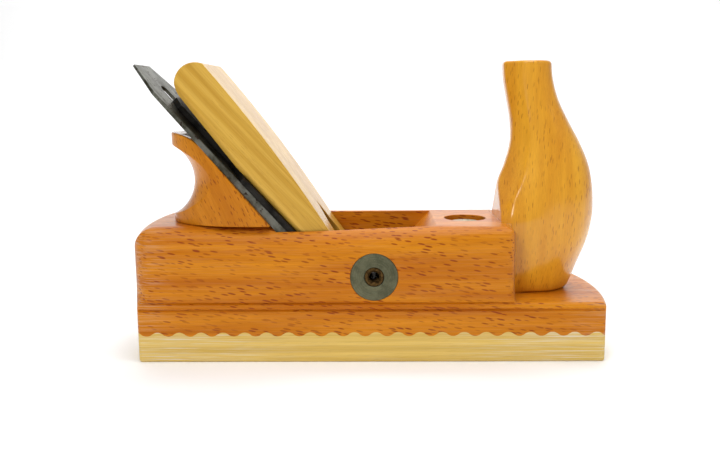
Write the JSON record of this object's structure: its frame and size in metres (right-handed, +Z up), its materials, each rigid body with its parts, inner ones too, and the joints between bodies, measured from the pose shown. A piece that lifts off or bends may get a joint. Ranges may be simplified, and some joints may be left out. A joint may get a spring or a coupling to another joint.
{
  "type": "wooden smoothing plane",
  "caption": "Wooden smoothing plane with a horn, a hand rest, a wedged double iron under a cross bar and an adjustable mouth.",
  "frame": {"origin": "middle of the sole's flat face", "axes": "+X towards the toe and the horn, +Y across the plane, +Z up from the sole"},
  "size_m": [0.2274, 0.065, 0.1385],
  "materials": {
    "beech": "clear lacquered beech with short ray flecks",
    "hornbeam_sole": "pale hornbeam, scuffed",
    "mouth_hardwood": "pale hardwood, planed",
    "beech_horn": "clear lacquered beech, upright grain",
    "beech_rest": "clear lacquered beech, steep grain",
    "dowel_beech": "raw beech dowel",
    "hornbeam_wedge": "clear lacquered hornbeam",
    "iron_steel": "ground tool steel with dark patina",
    "cap_steel": "mild steel with patina",
    "zinc_steel": "zinc plated",
    "nickel_screw": "nickel plated, worn",
    "dark_screw_steel": "blackened steel",
    "verdigris_brass": "brass with verdigris",
    "nickel_plate": "dull nickel plate, speckled",
    "brass_tube": "tarnished brass",
    "button_steel": "polished steel, hammered"
  },
  "bodies": {
    "plane_body": {"stock": "beech", "sole": "hornbeam_sole", "horn": "beech_horn", "horn_dowel": "dowel_beech", "hand_rest": "beech_rest", "hand_rest_dowels": "dowel_beech", "cross_bar": "brass_tube", "side_plate_near": "nickel_plate", "side_plate_far": "nickel_plate", "striking_button": "button_steel"},
    "cutting_iron": {"cutting_iron": "iron_steel"},
    "chip_breaker": {"chip_breaker": "cap_steel", "chip_breaker_boss": "zinc_steel"},
    "chip_breaker_screw": {"chip_breaker_screw": "dark_screw_steel"},
    "wedge": {"wedge": "hornbeam_wedge"},
    "mouth": {"mouth_block": "mouth_hardwood", "mouth_nut": "zinc_steel", "mouth_screw_washer": "verdigris_brass"},
    "mouth_screw": {"mouth_screw": "nickel_screw"}
  },
  "joints": [
    {"name": "iron_slide", "type": "slide", "parent": "plane_body", "child": "cutting_iron", "axis": [-0.6534, 0, 0.757], "range_m": [-0.0005, 0.09]},
    {"name": "chip_breaker_slide", "type": "slide", "parent": "cutting_iron", "child": "chip_breaker", "axis": [-0.6738, 0, 0.7389], "range_m": [-0.001, 0.004]},
    {"name": "chip_breaker_screw_turn", "type": "hinge", "parent": "chip_breaker", "child": "chip_breaker_screw", "pos_m": [-0.07825, 0, 0.09992], "axis": [0.757, 0, 0.6534], "continuous": true},
    {"name": "wedge_slide", "type": "slide", "parent": "cutting_iron", "child": "wedge", "axis": [-0.6738, 0, 0.7389], "range_m": [0, 0.11]},
    {"name": "mouth_slide", "type": "slide", "parent": "plane_body", "child": "mouth", "axis": [1, 0, 0], "range_m": [-0.0008, 0.0018]},
    {"name": "mouth_screw_turn", "type": "hinge", "parent": "mouth", "child": "mouth_screw", "pos_m": [0.0466, 0, 0.058], "axis": [0, 0, 1], "continuous": true}
  ]
}
